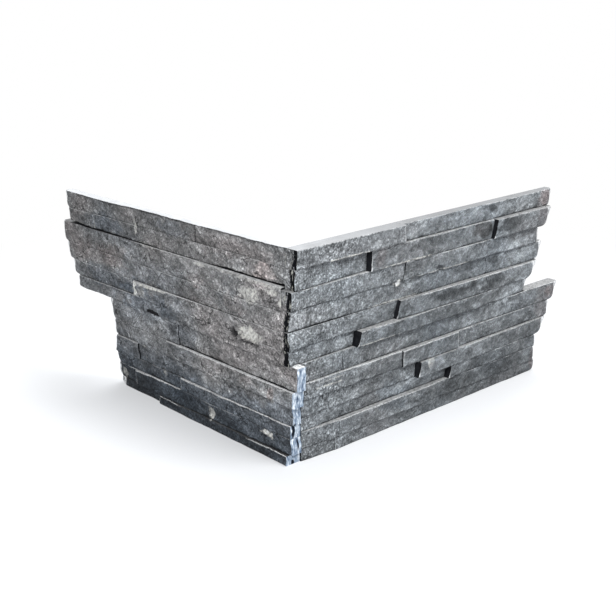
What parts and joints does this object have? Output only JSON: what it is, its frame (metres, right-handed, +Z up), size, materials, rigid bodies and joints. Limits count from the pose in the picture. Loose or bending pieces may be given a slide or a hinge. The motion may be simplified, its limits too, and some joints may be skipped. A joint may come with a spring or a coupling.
{
  "type": "slate veneer corner",
  "caption": "Ready-made outside corner of stacked split-slate strips in two wings at a right angle, for cladding the corner of a wall.",
  "frame": {"origin": "inner corner where the two flat backs meet, at the bed: the arris of the wall it is fixed to", "axes": "+X along the right wing and out of the left wing's back, +Y along the left wing and out of the right wing's back, +Z up along the corner"},
  "size_m": [0.2935, 0.29, 0.15],
  "materials": {
    "slate": "split natural face, sawn edges and back"
  },
  "bodies": {
    "root": {"left_course_01_strip_1": "slate", "left_course_01_strip_2": "slate", "left_course_01_strip_3": "slate", "left_course_02_strip_1": "slate", "left_course_02_strip_2": "slate", "left_course_02_strip_3": "slate", "left_course_03_strip_1": "slate", "left_course_03_strip_2": "slate", "left_course_04_strip_1": "slate", "left_course_04_strip_2": "slate", "left_course_05_strip_1": "slate", "left_course_05_strip_2": "slate", "left_course_06_strip_1": "slate", "left_course_06_strip_2": "slate", "left_course_07_strip_1": "slate", "left_course_07_strip_2": "slate", "left_course_08_strip_1": "slate", "left_course_08_strip_2": "slate", "left_course_09_strip_1": "slate", "left_course_09_strip_2": "slate", "left_course_09_strip_3": "slate", "left_course_10_strip_1": "slate", "left_course_10_strip_2": "slate", "left_course_11_strip_1": "slate", "left_course_11_strip_2": "slate", "left_course_12_strip_1": "slate", "left_course_12_strip_2": "slate", "right_course_01_strip_1": "slate", "right_course_01_strip_2": "slate", "right_course_02_strip_1": "slate", "right_course_02_strip_2": "slate", "right_course_02_strip_3": "slate", "right_course_03_strip_1": "slate", "right_course_03_strip_2": "slate", "right_course_03_strip_3": "slate", "right_course_04_strip_1": "slate", "right_course_04_strip_2": "slate", "right_course_04_strip_3": "slate", "right_course_05_strip_1": "slate", "right_course_05_strip_2": "slate", "right_course_05_strip_3": "slate", "right_course_06_strip_1": "slate", "right_course_06_strip_2": "slate", "right_course_06_strip_3": "slate", "right_course_07_strip_1": "slate", "right_course_07_strip_2": "slate", "right_course_07_strip_3": "slate", "right_course_08_strip_1": "slate", "right_course_08_strip_2": "slate", "right_course_08_strip_3": "slate", "right_course_09_strip_1": "slate", "right_course_09_strip_2": "slate", "right_course_09_strip_3": "slate", "right_course_10_strip_1": "slate", "right_course_10_strip_2": "slate", "right_course_11_strip_1": "slate", "right_course_11_strip_2": "slate", "right_course_12_strip_1": "slate", "right_course_12_strip_2": "slate"}
  },
  "joints": []
}
